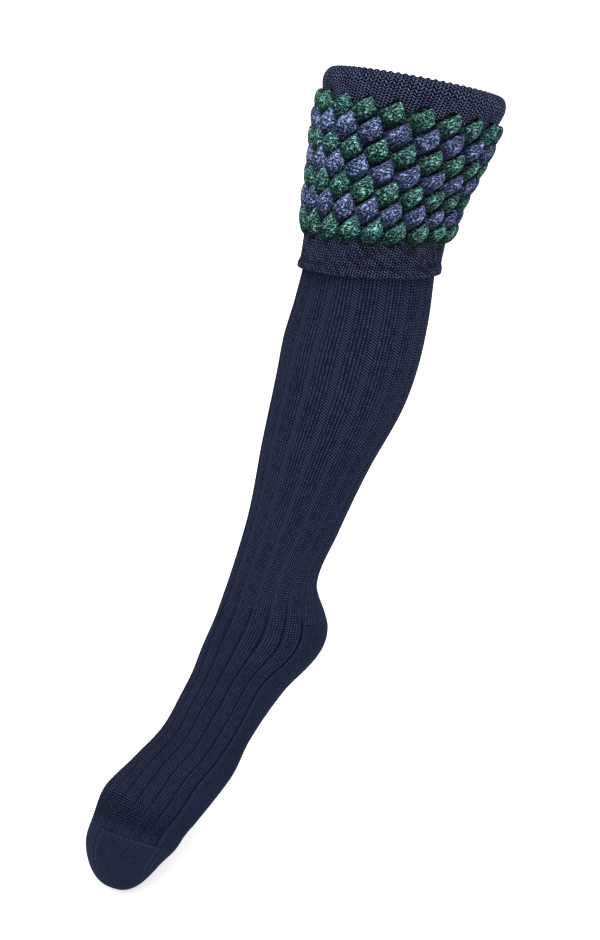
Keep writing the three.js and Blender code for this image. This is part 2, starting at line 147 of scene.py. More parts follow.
@dataclass
class SockForm:
    """The worn form that every piece of the sock lies on."""

    leg_length: float = 446.0
    foot_length: float = 252.0
    heel_reach: float = 46.0
    toe_length: float = 62.0
    toe_cap_length: float = 45.0
    calf_width: float = 98.0
    ankle_width: float = 67.0
    foot_width: float = 84.0
    foot_height: float = 54.0
    ankle_radius: float = 150.0
    knuckle_radius: float = 75.0
    leg_lean: float = 20.5
    foot_pitch: float = 48.0
    toe_pitch: float = 36.0
    toe_rounding: float = 2.6
    heel_top_share: float = -0.10
    heel_front_share: float = 0.30
    leg_wall: float = 2.0
    cuff_wall: float = 3.0
    cuff_depth: float = 134.0
    cuff_clearance: float = 0.6
    cuff_flare: float = 5.0
    ribs: int = 16
    near_edge_on_leg: float = -104.5
    near_edge_on_foot: float = -64.0
    far_edge_on_leg: float = 75.5
    far_edge_on_foot: float = 72.0
    edge_shift_start: float = 0.43
    edge_shift_end: float = 0.93
    rib_sway: float = 7.0
    rib_sway_at: float = 0.87
    rib_sway_reach: float = 0.04
    rib_ease: float = 6.0
    rib_ease_right_at: float = 0.75
    rib_ease_left_at: float = 0.825
    rib_ease_reach: float = 0.032
    leg_row_pitch: float = 1.9
    foot_row_pitch: float = 1.5
    row_pitch_ease: float = 60.0
    path: list[tuple[float, float]] = field(init=False)
    table: Array = field(init=False)

    def __post_init__(self) -> None:
        """Works out the middle line and the sized sections."""
        ankle_turn = math.radians(self.foot_pitch - self.leg_lean)
        knuckle_turn = math.radians(self.toe_pitch - self.foot_pitch)
        ankle_tangent = self.ankle_radius * math.tan(ankle_turn / 2)
        knuckle_tangent = self.knuckle_radius * math.tan(abs(knuckle_turn) / 2)
        foot_run = (self.foot_length - self.heel_reach - ankle_tangent
                    - self.toe_length - knuckle_tangent)
        self.path = [
            (self.leg_length - ankle_tangent, 0.0),
            (self.ankle_radius * ankle_turn, ankle_turn),
            (foot_run, 0.0),
            (self.knuckle_radius * abs(knuckle_turn), knuckle_turn),
            (self.toe_length - knuckle_tangent, 0.0),
        ]
        self.table = np.array([self._sized(section) for section in SECTIONS])

    @property
    def length(self) -> float:
        """The length of the middle line."""
        return sum(run for run, _ in self.path)

    @property
    def foot_start(self) -> float:
        """Where the straight of the foot begins."""
        return self.path[0][0] + self.path[1][0]

    @property
    def toe_seam(self) -> float:
        """Where the toe cap begins."""
        return self.length - self.toe_cap_length

    @property
    def heel_top(self) -> float:
        """Where the back ribs stop and the heel begins."""
        return self.path[0][0] + self.heel_top_share * self.path[1][0]

    @property
    def heel_front(self) -> float:
        """Where the heel becomes the sole."""
        return self.foot_start + self.heel_front_share * self.path[2][0]

    def _sized(self, section: Section) -> list[float]:
        """Returns a section in millimetres and radians: distance, deep, wide, back, over, tilt, skew."""
        start, run, depth, width = {
            Stretch.LEG: (0.0, self.path[0][0], self.calf_width, self.calf_width),
            Stretch.ANKLE: (self.path[0][0], self.path[1][0], self.ankle_width, self.ankle_width),
            Stretch.FOOT: (self.foot_start, self.toe_seam - self.foot_start,
                           self.foot_height, self.foot_width),
            Stretch.TOE: (self.toe_seam, self.toe_cap_length, self.foot_height, self.foot_width),
        }[section.stretch]
        return [start + section.at * run, section.deep * depth / 2, section.wide * width / 2,
                section.back * depth / 2, section.over * width / 2,
                math.radians(section.tilt), math.radians(section.skew)]

    def middle(self, distance: Array) -> tuple[Array, Array, Array]:
        """Returns x, z and the lean of the middle line."""
        x, z = np.zeros_like(distance), np.zeros_like(distance)
        angle = np.full_like(distance, math.radians(self.leg_lean))
        left = distance.copy()
        for index, (run, turn) in enumerate(self.path):
            low = -np.inf if index == 0 else 0.0
            high = np.inf if index == len(self.path) - 1 else run
            step = np.clip(left, low, high)
            turned = turn * step / run
            half = turned / 2
            chord = step * np.sinc(half / np.pi)
            x -= np.sin(angle + half) * chord
            z -= np.cos(angle + half) * chord
            angle = angle + turned
            left = left - step
        return x, z, angle

    def sections(self, distance: Array) -> Array:
        """Returns the smooth columns of the section table at some distances."""
        rows = self.table
        last = len(rows) - 1
        before = np.maximum(np.arange(last + 1) - 1, 0)
        after = np.minimum(np.arange(last + 1) + 1, last)
        slopes = (rows[after] - rows[before]) / (rows[after, :1] - rows[before, :1])
        index = np.clip(np.searchsorted(rows[:, 0], distance, side="right") - 1, 0, last - 1)
        span = rows[index + 1, 0] - rows[index, 0]
        t = ((distance - rows[index, 0]) / span)[..., None]
        span = span[..., None]
        return ((2 * t**3 - 3 * t**2 + 1) * rows[index] + (t**3 - 2 * t**2 + t) * span * slopes[index]
                + (3 * t**2 - 2 * t**3) * rows[index + 1] + (t**3 - t**2) * span * slopes[index + 1])

    def points(self, distance: Array, turn: Array, out: Array) -> Array:
        """Returns points that stand off the outer surface of the knit.

        Args:
            distance: Distances from the fold.
            turn: Turns round the sock, in radians.
            out: Stand-off, square to the knit.

        Returns:
            Points in millimetres, in the frame of the part.
        """
        distance, turn, out = np.broadcast_arrays(*(np.asarray(a, float) for a in (distance, turn, out)))
        x, z, angle = self.middle(distance)
        _, deep, wide, back, over, tilt, skew = np.moveaxis(self.sections(distance), -1, 0)
        along = np.clip((distance - self.toe_seam) / self.toe_cap_length, 0.0, 1.0)
        left = (1.0 - along**self.toe_rounding) ** (1.0 / self.toe_rounding)
        cosine, sine = np.cos(turn), np.sin(turn)
        depth, width = deep * left, wide * left
        square_x, square_y = cosine * width, sine * depth
        size = np.hypot(square_x, square_y)
        flat = size < TINY
        square_x = np.where(flat, cosine, square_x / np.where(flat, 1.0, size))
        square_y = np.where(flat, sine, square_y / np.where(flat, 1.0, size))
        forward = cosine * depth + square_x * out
        across = sine * width + square_y * out
        down = forward * np.sin(tilt) + across * np.sin(skew)
        front = forward * np.cos(tilt) - back
        return np.stack([
            x - np.cos(angle) * front - np.sin(angle) * down,
            over + across * np.cos(skew),
            z + np.sin(angle) * front - np.cos(angle) * down,
        ], axis=-1)

    def rib_turn(self, distance: Array, place: Array) -> Array:
        """Returns the turn of a place in the knit, counted in ribs from the near edge of the instep.

        Args:
            distance: Distances from the fold.
            place: Places, from 0 to the number of ribs.
        """
        along = distance / self.toe_seam
        shift = smoothstep(along, self.edge_shift_start, self.edge_shift_end)
        sway = self.rib_sway * bell(along - self.rib_sway_at, self.rib_sway_reach)
        near = np.radians(between(shift, self.near_edge_on_leg, self.near_edge_on_foot) + sway)
        far = np.radians(between(shift, self.far_edge_on_leg, self.far_edge_on_foot) + sway)
        half = self.ribs / 2
        behind = between(place / half - 1.0, far, near + FULL_TURN)
        left, right = (bell(along - at, self.rib_ease_reach)
                       for at in (self.rib_ease_left_at, self.rib_ease_right_at))
        ease = np.radians(self.rib_ease * (left - right)) * np.sin(np.pi * np.clip(place / half, 0.0, 1.0))
        return np.where(place <= half, between(place / half, near, far) + ease, behind)

    def knit_rows(self, distance: Array) -> Array:
        """Returns how many rows of stitches lie above a distance."""
        along = np.linspace(-40.0, self.length + 10.0, 701)
        foot = smoothstep(along, self.heel_top - self.row_pitch_ease, self.heel_front)
        pitch = between(foot, self.leg_row_pitch, self.foot_row_pitch)
        rows = np.concatenate([[0.0], np.cumsum(np.diff(along) / pitch[:-1])])
        return np.interp(distance, along, rows)

    def cuff_outer(self, distance: Array | float) -> Array:
        """Returns how far the outer face of the cuff stands off the leg at a distance from the fold."""
        below = np.clip(np.asarray(distance, float) / self.cuff_depth, 0.0, 1.0)
        return self.cuff_clearance + self.cuff_flare * (1.0 - below) ** 2 + self.cuff_wall


class Signal:
    """A value that leaves a node of a material, which the signs of arithmetic work on."""

    def __init__(self, bench: "Bench", socket: bpy.types.NodeSocket) -> None:
        """Takes an output of a bench."""
        self.bench, self.socket = bench, socket

    def __add__(self, other: "Source") -> "Signal":
        """Returns the sum."""
        return self.bench.math("ADD", self, other)

    def __sub__(self, other: "Source") -> "Signal":
        """Returns the difference."""
        return self.bench.math("SUBTRACT", self, other)

    def __rsub__(self, other: float) -> "Signal":
        """Returns the difference from a number."""
        return self.bench.math("SUBTRACT", other, self)

    def __mul__(self, other: "Source") -> "Signal":
        """Returns the product."""
        return self.bench.math("MULTIPLY", self, other)

    def __truediv__(self, other: "Source") -> "Signal":
        """Returns the quotient."""
        return self.bench.math("DIVIDE", self, other)

    def __pow__(self, power: float) -> "Signal":
        """Returns a power."""
        return self.bench.math("POWER", self, power)

    def __abs__(self) -> "Signal":
        """Returns the value without its sign."""
        return self.bench.math("ABSOLUTE", self)

    def clamped(self) -> "Signal":
        """Returns the value, which its node now keeps between 0 and 1."""
        self.socket.node.use_clamp = True
        return self


Source = Signal | float | tuple[float, ...]


class Bench:
    """Adds the nodes of one material and joins them."""

    def __init__(self, name: str) -> None:
        """Starts a material with an empty node tree."""
        self.material = bpy.data.materials.new(name)
        self.material.use_nodes = True
        self.nodes = self.material.node_tree.nodes
        self.links = self.material.node_tree.links
        self.nodes.clear()

    def node(self, kind: str, output: int | str, inputs: dict[int | str, Source] | None = None,
             **settings: object) -> Signal:
        """Adds a node.

        Args:
            kind: The node's type name.
            output: Name or number of the output that is wanted.
            inputs: What goes into its sockets, by name or number.
            **settings: Values of its properties.

        Returns:
            What leaves that output.
        """
        node = self.nodes.new(kind)
        for key, value in settings.items():
            setattr(node, key, value)
        for key, source in (inputs or {}).items():
            if isinstance(source, Signal):
                self.links.new(source.socket, node.inputs[key])
            else:
                node.inputs[key].default_value = source
        return Signal(self, node.outputs[output])

    def math(self, operation: str, *values: Source) -> Signal:
        """Returns the result of one of Blender's operations on one or two values."""
        return self.node("ShaderNodeMath", 0, dict(enumerate(values)), operation=operation)

    def mix(self, share: Source, first: Source, second: Source) -> Signal:
        """Returns a number between two others: share 0 gives the first, 1 the second."""
        return self.node("ShaderNodeMix", 0, {0: share, 2: first, 3: second}, data_type="FLOAT")

    def tint(self, share: Signal, first: tuple[float, ...], second: tuple[float, ...]) -> Signal:
        """Returns a colour between two others: share 0 gives the first, 1 the second."""
        inputs = {0: share, 6: (*first, 1.0), 7: (*second, 1.0)}
        return self.node("ShaderNodeMix", 2, inputs, data_type="RGBA")

    def ease(self, value: Signal, low: float, high: float) -> Signal:
        """Returns how far a value has come from low to high, eased at both ends."""
        inputs = {"Value": value, "From Min": low, "From Max": high}
        return self.node("ShaderNodeMapRange", "Result", inputs, interpolation_type="SMOOTHSTEP")

    def noise(self, place: Signal, fineness: float, layers: float) -> Signal:
        """Returns smooth noise from 0 to 1 at a place, with finer layers in it."""
        return self.node("ShaderNodeTexNoise", "Fac", {"Vector": place, "Scale": fineness, "Detail": layers})

    def ripple(self, phase: Signal) -> Signal:
        """Returns a wave from 0 to 1 that repeats with each whole number of the phase."""
        return (self.math("COSINE", phase * FULL_TURN) + 1.0) * 0.5

    def surface(self, inputs: dict[str, Source]) -> bpy.types.Material:
        """Returns the finished material, given what goes into its shader's sockets by name."""
        shader = self.node("ShaderNodeBsdfPrincipled", "BSDF", inputs)
        output = self.nodes.new("ShaderNodeOutputMaterial")
        self.links.new(shader.socket, output.inputs["Surface"])
        return self.material


@dataclass(frozen=True)
class Loops:
    """The knitted loops at each point of a surface, which every kind of stitch is drawn from.

    Attributes:
        bench: The material's nodes.
        knit: Place in the knit map.
        across: Column of stitches, a little uneven.
        down: Row of stitches, a little uneven.
        cell: Place in the column, from -0.5 to 0.5.
        column: Rise and fall across each column.
        ripple: Rise and fall from row to row.
        luck: How much the painted highlight of a stitch differs from the others.
        height: Relief of plain stitches.
    """

    bench: Bench
    knit: Signal
    across: Signal
    down: Signal
    cell: Signal
    column: Signal
    ripple: Signal
    luck: Signal
    height: Signal


@dataclass(frozen=True)
class YarnFinish:
    """The finish of a knitted piece: the shaded and lit colours of its yarn, between which its stitches are
    drawn in painted highlights and shade, and how its stitches stand.
    """

    name: str
    shade: tuple[float, float, float]
    light: tuple[float, float, float]
    stitch: Stitch
    contrast: float = 1.0
    slant: float = 0.9
    fork: float = 0.0
    waver: float = 0.2
    sag: float = 2.5
    luck: float = 0.5
    waver_fineness: float = 0.37
    sag_fineness: float = 0.23
    curl_fineness: float = 0.64
    curl_thinness: float = 23.0
    even_light: float = 0.3
    fluff_fineness: float = 1600.0
    fluff_light: tuple[float, float] = (0.45, 1.55)
    fluff_relief: float = 0.3
    dye_fineness: float = 30.0
    dye_light: tuple[float, float] = (0.85, 1.15)
    roughness: tuple[float, float] = (0.7, 0.95)
    relief: float = 0.0005
    relief_strength: float = 0.9
    specular: float = 0.003
    sheen: float = 0.03
    sheen_roughness: float = 0.4
    sheen_tint: tuple[float, ...] = (0.45, 0.6, 1.0, 1.0)
    groove_half: float = 0.95
    groove_slant: float = 0.8
    foot_rows: tuple[float, float] = (180.0, 245.0)
    toe_rows: tuple[float, float] = (345.0, 356.0)

    def material(self) -> bpy.types.Material:
        """Returns the material: stitches from the knit map in painted highlights and shade, yarn fluff, uneven
        dye and each piece's painted light and shade.
        """
        bench = Bench(self.name)
        height, lit = self._stitches(self._loops(bench))
        place = bench.node("ShaderNodeTexCoord", "Object")
        fluff = bench.noise(place, self.fluff_fineness, 1.0)
        dye = bench.noise(place, self.dye_fineness, 3.0)
        # Each piece's painted light and shade, which scales the painted highlight of its stitches.
        painted_light = bench.node("ShaderNodeAttribute", "Fac", attribute_type="GEOMETRY", attribute_name=PAINTED_LIGHT)
        lit = bench.mix(self.contrast, self.even_light, lit)
        lit = lit * bench.mix(fluff, *self.fluff_light) * bench.mix(dye, *self.dye_light)
        bump = {"Strength": self.relief_strength, "Distance": self.relief,
                "Height": height + fluff * self.fluff_relief}
        return bench.surface({
            "Base Color": bench.tint((lit * painted_light).clamped(), self.shade, self.light),
            "Roughness": bench.mix(fluff, *self.roughness),
            "Specular IOR Level": self.specular,
            "Sheen Weight": self.sheen,
            "Sheen Roughness": self.sheen_roughness,
            "Sheen Tint": self.sheen_tint,
            "Normal": bench.node("ShaderNodeBump", "Normal", bump),
        })

    def _loops(self, bench: Bench) -> Loops:
        """Returns the loops of the knit, worked out by the nodes of a material."""
        knit = bench.node("ShaderNodeUVMap", "UV", uv_map=KNIT_MAP)
        across, down = (bench.node("ShaderNodeSeparateXYZ", axis, {0: knit}) for axis in (0, 1))
        across = across + bench.mix(bench.noise(knit, self.waver_fineness, 2.0), -self.waver, self.waver)
        sag = self.sag * self.waver
        down = down + bench.mix(bench.noise(knit, self.sag_fineness, 1.0), -sag, sag)
        cell = bench.math("FRACT", across) - 0.5
        column = bench.math("COSINE", cell * math.pi)
        phase = down + (cell + abs(cell) * self.fork) * self.slant
        ripple = bench.ripple(phase)
        stitch = {0: bench.math("FLOOR", across), 1: bench.math("FLOOR", phase + 0.5)}
        chance = bench.node("ShaderNodeTexWhiteNoise", "Value", noise_dimensions="2D", inputs={
            "Vector": bench.node("ShaderNodeCombineXYZ", 0, stitch)})
        luck = bench.mix(chance, 1.0 - self.luck, 1.0 + self.luck)
        height = column * bench.mix(ripple, 0.35, 1.0)
        return Loops(bench, knit, across, down, cell, column, ripple, luck, height)

    def _stitches(self, loops: Loops) -> tuple[Signal, Signal]:
        """Returns the relief of the stitches and how much of the yarn's painted highlight shows."""
        draw = {Stitch.PLAIN: self._plain, Stitch.RIBBED: self._ribs, Stitch.FORKED: self._forks,
                Stitch.SPECKLED: self._speckles}
        return draw[self.stitch](loops)

    @staticmethod
    def _plain(loops: Loops) -> tuple[Signal, Signal]:
        """Returns relief and painted highlight of plain loops."""
        return loops.height, loops.column**1.2 * loops.ripple**1.3 * loops.luck

    def _forks(self, loops: Loops) -> tuple[Signal, Signal]:
        """Returns relief and painted highlight of stitches with two slanting arms each."""
        arm = abs(loops.cell)
        ripple = loops.bench.ripple(loops.down + arm * self.slant)
        ridge = arm * 4.0 - 1.0
        ridge = 1.0 - ridge * ridge
        height = ridge**0.6 * loops.bench.mix(ripple, 0.2, 1.0)
        return height, ridge**1.5 * ripple**3.0 * loops.luck

    def _speckles(self, loops: Loops) -> tuple[Signal, Signal]:
        """Returns relief and painted highlight, with short curled strokes of painted highlight among the
        stitches.
        """
        curl = loops.bench.noise(loops.knit, self.curl_fineness, 1.0) - 0.5
        curl = (1.0 - abs(curl) * self.curl_thinness).clamped() * loops.luck
        height, lit = self._plain(loops)
        return height * 0.5 + curl * 0.6, lit * 0.2 + curl**1.3 * 1.5

    def _ribs(self, loops: Loops) -> tuple[Signal, Signal]:
        """Returns relief and painted highlight of ribs.

        The grooves of the leg hold slanting strokes. On the foot they are dark lines of painted shade with a
        faint
         painted highlight beside them, which end before the toe seam, where the dots turn into rows.
        """
        bench, column, ripple = loops.bench, loops.column, loops.ripple
        foot, toe = (bench.ease(loops.down, *rows) for rows in (self.foot_rows, self.toe_rows))
        ribs = loops.across / float(COLUMNS_PER_RIB)
        off = (ribs - bench.math("ROUND", ribs)) * float(COLUMNS_PER_RIB)
        size = abs(off)
        groove = ((self.groove_half - size) * 6.0).clamped()
        stroke = bench.ripple(loops.down + loops.across * self.groove_slant)
        on_leg = bench.mix(column, -0.05, 1.15) * bench.mix(ripple, 0.3, 1.1) * loops.luck * 0.7
        on_leg = bench.mix(groove, on_leg.clamped(), stroke**2.6 * 2.8)
        dots = bench.mix(toe, bench.mix(column, 0.0, 1.3), 0.6)
        on_foot = bench.mix(ripple**1.5, 0.02, 1.05) * dots * loops.luck
        # Painted shade darkens the middle of each groove on the foot, and a faint painted highlight runs beside
        # it.
        line = (1.0 - size * 1.3).clamped() * (1.0 - toe)
        shine = (1.0 - abs(off + 1.1) * 1.8).clamped()
        on_foot = (on_foot + shine * 0.15) * (1.0 - line).clamped()
        deep = bench.mix(groove, loops.height, stroke - 0.5)
        return bench.mix(foot, deep, loops.height), bench.mix(foot, on_leg, on_foot)


NAVY_RIBS = YarnFinish(
    "ribbed_navy_yarn", (0.0006, 0.0009, 0.0028), (0.029, 0.036, 0.078), Stitch.RIBBED,
    slant=0.45, fork=1.0, luck=0.3)
NAVY_PLAIN = YarnFinish(
    "plain_navy_yarn", (0.0006, 0.0009, 0.0028), (0.028, 0.039, 0.084), Stitch.PLAIN,
    contrast=0.5, luck=0.25, relief=0.0003)
NAVY_FOLD = YarnFinish(
    "fold_navy_yarn", (0.0012, 0.0016, 0.0038), (0.125, 0.150, 0.29), Stitch.FORKED,
    slant=2.0, luck=0.4, waver=0.1, relief=0.0010)
# The welt is knitted from the fold's yarn; its darker colours are painted shade.
NAVY_WELT = YarnFinish(
    "welt_navy_yarn", (0.0012, 0.0016, 0.0036), (0.090, 0.105, 0.20), Stitch.FORKED,
    slant=2.0, luck=0.6, waver=0.15, relief=0.0010)
GREEN_BOBBLE = YarnFinish(
    "green_bobble_yarn", (0.0005, 0.0045, 0.0038), (0.26, 0.63, 0.56), Stitch.SPECKLED,
    slant=1.1, fork=0.6, waver=0.5, luck=0.6, relief=0.0009)
BLUE_BOBBLE = YarnFinish(
    "blue_bobble_yarn", (0.003, 0.006, 0.018), (0.39, 0.50, 0.90), Stitch.SPECKLED,
    slant=1.1, fork=0.6, waver=0.5, luck=0.6, relief=0.0009)


def deselect() -> None:
    """Leaves nothing selected."""
    if bpy.context.object and bpy.context.object.mode != "OBJECT":
        bpy.ops.object.mode_set(mode="OBJECT")
    bpy.ops.object.select_all(action="DESELECT")


def apply_modifier(piece: bpy.types.Object, kind: str, **settings: object) -> None:
    """Adds a modifier of a kind to a piece, with its properties set, and applies it."""
    modifier = piece.modifiers.new(kind.lower(), kind)
    for key, value in settings.items():
        setattr(modifier, key, value)
    bpy.context.view_layer.objects.active = piece
    bpy.ops.object.modifier_apply(modifier=modifier.name)


def read_points(mesh: bpy.types.Mesh) -> Array:
    """Returns the points of a mesh, one in each row."""
    points = np.empty(len(mesh.vertices) * 3)
    mesh.vertices.foreach_get("co", points)
    return points.reshape(-1, 3)


def set_knit(mesh: bpy.types.Mesh, column: Array, row: Array) -> None:
    """Writes the knit map of a mesh: the column and the row of stitches at each point."""
    corner = np.empty(len(mesh.loops), dtype=np.int32)
    mesh.loops.foreach_get("vertex_index", corner)
    layer = mesh.uv_layers[0]
    layer.name = KNIT_MAP
    layer.data.foreach_set("uv", np.stack([column[corner], row[corner]], axis=-1).ravel())


def set_painted_light(mesh: bpy.types.Mesh, values: Array | float) -> None:
    """Writes the painted light and shade at each point: how much light the yarn is painted to catch, where 1 is
    the finish's own look.
    """
    painted_light = mesh.attributes.new(PAINTED_LIGHT, "FLOAT", "POINT")
    painted_light.data.foreach_set("value", np.full(len(mesh.vertices), values, dtype=np.float32))


Shape = Callable[[Array, Array], tuple[Array, ...]]


def knit_sheet(name: str, columns: int, rows: int, shape: Shape, wall: float) -> bpy.types.Object:
    """Makes a sheet of knit: a grid laid on the form, sewn up where its edges meet, with a wall.

    Args:
        name: Name of the piece.
        columns: Faces across the grid.
        rows: Faces down the grid.
        shape: Gives the points in millimetres, the column and row of stitches and, if it isn't
        even, the painted light and shade, from shares across and down the grid.
        wall: Thickness of the knit, inwards, in millimetres.

    Returns:
        The piece.
    """
    deselect()
    bpy.ops.mesh.primitive_grid_add(x_subdivisions=columns, y_subdivisions=rows, size=2.0)
    piece = bpy.context.object
    piece.name = piece.data.name = name
    mesh = piece.data
    flat = read_points(mesh)
    points, column, row, *painted_light = shape((flat[:, 0] + 1.0) / 2.0, (1.0 - flat[:, 1]) / 2.0)
    set_painted_light(mesh, painted_light[0] if painted_light else 1.0)
    set_knit(mesh, column, row)
    mesh.vertices.foreach_set("co", (points * METRES).ravel())
    mesh.update()
    bpy.ops.object.mode_set(mode="EDIT")
    bpy.ops.mesh.select_all(action="SELECT")
    bpy.ops.mesh.remove_doubles(threshold=SEWING_GAP)
    if not faces_out(points, columns):
        bpy.ops.mesh.flip_normals()
    bpy.ops.object.mode_set(mode="OBJECT")
    apply_modifier(piece, "SOLIDIFY", thickness=wall * METRES, offset=-1.0, use_even_offset=False)
    bpy.ops.object.shade_smooth_by_angle(angle=SHARP_ANGLE)
    return piece


def faces_out(points: Array, columns: int) -> bool:
    """Tells whether the faces of a grid round the form, given row by row, look away from its middle."""
    count = columns + 1
    grid = points.reshape(-1, count, 3)
    right = grid[:-1, 1:] - grid[:-1, :-1]
    up = grid[1:, :-1] - grid[:-1, :-1]
    normal = np.cross(right, up)
    away = grid[:-1, :-1] - points.mean(0)
    return float((normal * away).sum()) > 0.0


def finish_piece(piece: bpy.types.Object, finish: YarnFinish, slot: str, *nodes: str) -> None:
    """Dresses a piece, hangs it on the root body and hides the solids that it replaces.

    Args:
        piece: The piece.
        finish: Its finish.
        slot: A slot for it, which is not used.
        *nodes: The solids that it replaces.
    """
    material = bpy.data.materials.get(finish.name) or finish.material()
    piece.data.materials.clear()
    piece.data.materials.append(material)
    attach(piece, "root")
    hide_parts(*nodes)
    LOG.info("%s: %d faces", piece.name, len(piece.data.polygons))


@dataclass
class RibbedKnit:
    """Ribs and grooves of the leg and instep, with places in the knit counted in ribs."""

    form: SockForm
    groove_depth_on_leg: float = 1.2
    groove_depth_on_foot: float = 1.0
    groove_half_on_leg: float = 0.15
    groove_half_on_foot: float = 0.085
    groove_floor: float = 0.35
    groove_brim: float = 1.1
    rib_crown: float = 0.3
    foot_ease: float = 90.0
    cuff_cover: float = 40.0
    cuff_ease: float = 20.0

    def _foot_and_half(self, distance: Array) -> tuple[Array, Array]:
        """Returns how far the knit has become that of the foot, and half the width of a groove."""
        foot = smoothstep(distance, self.form.heel_top - self.foot_ease, self.form.heel_front)
        return foot, between(foot, self.groove_half_on_leg, self.groove_half_on_foot)

    def stand_off(self, distance: Array, place: Array) -> Array:
        """Returns how far the ribbed knit stands off the form."""
        foot, half = self._foot_and_half(distance)
        depth = between(foot, self.groove_depth_on_leg, self.groove_depth_on_foot)
        off = np.abs(place - np.round(place))
        floor, brim = self.groove_floor * half, self.groove_brim * half
        groove = 1.0 - smoothstep(off, floor, brim)
        crown = self.rib_crown * np.clip((off - half) / (0.5 - half), 0.0, 1.0) ** 0.5
        cover = self.form.cuff_depth - self.cuff_cover
        return (crown - depth * groove) * smoothstep(distance, cover, cover + self.cuff_ease)

    def spread(self, distance: Array, place: Array) -> Array:
        """Returns the column of stitches at a place."""
        _, half = self._foot_and_half(distance)
        whole = np.round(place)
        off = place - whole
        size = np.abs(off)
        groove_share = 1.0 / COLUMNS_PER_RIB
        inside = size / half * groove_share
        outside = groove_share + (size - half) / (0.5 - half) * (0.5 - groove_share)
        return (whole + np.sign(off) * np.where(size < half, inside, outside)) * COLUMNS_PER_RIB


@dataclass
class Leg:
    """The ribbed leg, open at the fold and at the ankle."""

    form: SockForm
    ribs: RibbedKnit
    top: float = 13.3
    cuff_cover: float = 12.0
    end_ease: float = 5.0
    faces_per_rib: int = 14
    hidden_rows: int = 14
    shown_rows: int = 150

    def build(self) -> None:
        """Makes the leg."""
        form, ribs = self.form, self.ribs
        shown = form.cuff_depth - self.cuff_cover
        distances = np.concatenate([
            np.linspace(self.top, shown, self.hidden_rows, endpoint=False),
            np.linspace(shown, form.heel_top, self.shown_rows + 1),
        ])
        rows = len(distances) - 1

        def shape(across: Array, down: Array) -> tuple[Array, ...]:
            """Lays the grid round the leg."""
            distance = np.interp(down * rows, np.arange(rows + 1), distances)
            place = across * form.ribs
            off = ribs.stand_off(distance, place)
            behind = smoothstep(place, form.ribs / 2, form.ribs / 2 + 0.01)
            ends = behind * smoothstep(distance, form.heel_top - self.end_ease, form.heel_top)
            points = form.points(distance, form.rib_turn(distance, place), off * (1.0 - ends))
            return points, ribs.spread(distance, place), form.knit_rows(distance)

        piece = knit_sheet("ribbed_leg", form.ribs * self.faces_per_rib, rows, shape, form.leg_wall)
        finish_piece(piece, NAVY_RIBS, "navy_knit", "leg_top", "calf", "shin")


@dataclass(frozen=True)
class Panel:
    """One side of a stretch of the foot, in ribs round it and millimetres along it."""

    name: str
    node: str
    ribbed: bool
    first: float
    last: float
    start: float
    end: float


@dataclass
class Foot:
    """The ribbed instep and the plain heel and sole."""

    form: SockForm
    ribs: RibbedKnit
    faces_per_rib: int = 14
    row_height: float = 2.0
    plain_columns: int = 60
    plain_stitch: float = 2.1
    ribs_end: tuple[float, float] = (22.0, 9.0)
    dim_rows: tuple[float, float] = (28.0, 12.0)
    last_rows: tuple[float, float] = (9.0, 5.0)
    edge_dip: float = 0.8
    edge_reach: float = 2.2
    edge_ridge_at: float = 2.6
    edge_light: float = 0.5
    edge_shade: float = 0.7
    edge_shade_reach: float = 1.2
    dim_shade: float = 0.25
    last_light: float = 0.35

    def build(self) -> None:
        """Makes the instep, heel and sole."""
        form, half, whole = self.form, self.form.ribs / 2, self.form.ribs
        self._panel(Panel("ribbed_instep", "instep", True, 0.0, half, form.heel_top, form.toe_seam))
        self._panel(Panel("heel_pocket", "heel", False, half, whole, form.heel_top, form.heel_front))
        self._panel(Panel("plain_sole", "sole", False, half, whole, form.heel_front, form.toe_seam))

    def _panel(self, panel: Panel) -> None:
        """Makes one panel."""
        form, run = self.form, panel.end - panel.start
        columns = int((panel.last - panel.first) * self.faces_per_rib) if panel.ribbed else self.plain_columns

        def shape(across: Array, down: Array) -> tuple[Array, ...]:
            """Lays the grid on its side of the foot."""
            distance = panel.start + down * run
            place = panel.first + across * (panel.last - panel.first)
            if panel.ribbed:
                off, column, painted_light = self._ribbed(distance, place)
            else:
                off, painted_light = self._edged(np.minimum(place - panel.first, panel.last - place) * form.ribs)
                column = across * math.pi * form.ankle_width / 2 / self.plain_stitch
            points = form.points(distance, form.rib_turn(distance, place), off)
            return points, column, form.knit_rows(distance), painted_light

        piece = knit_sheet(panel.name, columns, max(4, int(run / self.row_height)), shape, form.leg_wall)
        finish_piece(piece, NAVY_RIBS if panel.ribbed else NAVY_PLAIN, "navy_knit", panel.node)

    def _ribbed(self, distance: Array, place: Array) -> tuple[Array, Array, Array]:
        """Returns stand-off, column of stitches and painted light and shade of the ribs, which end before the
        toe seam.
        """
        ribs_end, dim, last = (smoothstep(self.form.toe_seam - distance, low, high)
                               for low, high in (self.ribs_end, self.dim_rows, self.last_rows))
        off = self.ribs.stand_off(distance, place) * (1.0 - ribs_end)
        # Painted shade dims the ribs before the toe seam, and painted light brightens their last rows.
        painted_light = 1.0 - self.dim_shade * dim + self.last_light * last
        return off, self.ribs.spread(distance, place), painted_light

    def _edged(self, edge: Array) -> tuple[Array, Array]:
        """Returns stand-off and painted light and shade of plain knit, with a dip darkened by painted shade and
        a painted highlight line near its edge.
        """
        off = -self.edge_dip * (1.0 - smoothstep(edge, 0.0, self.edge_reach))
        # Painted shade in the dip at the edge, and a painted highlight line beyond it.
        dark = 1.0 - smoothstep(edge, 0.0, self.edge_shade_reach)
        return off, 1.0 - self.edge_shade * dark + self.edge_light * bell(edge - self.edge_ridge_at, 1.0)


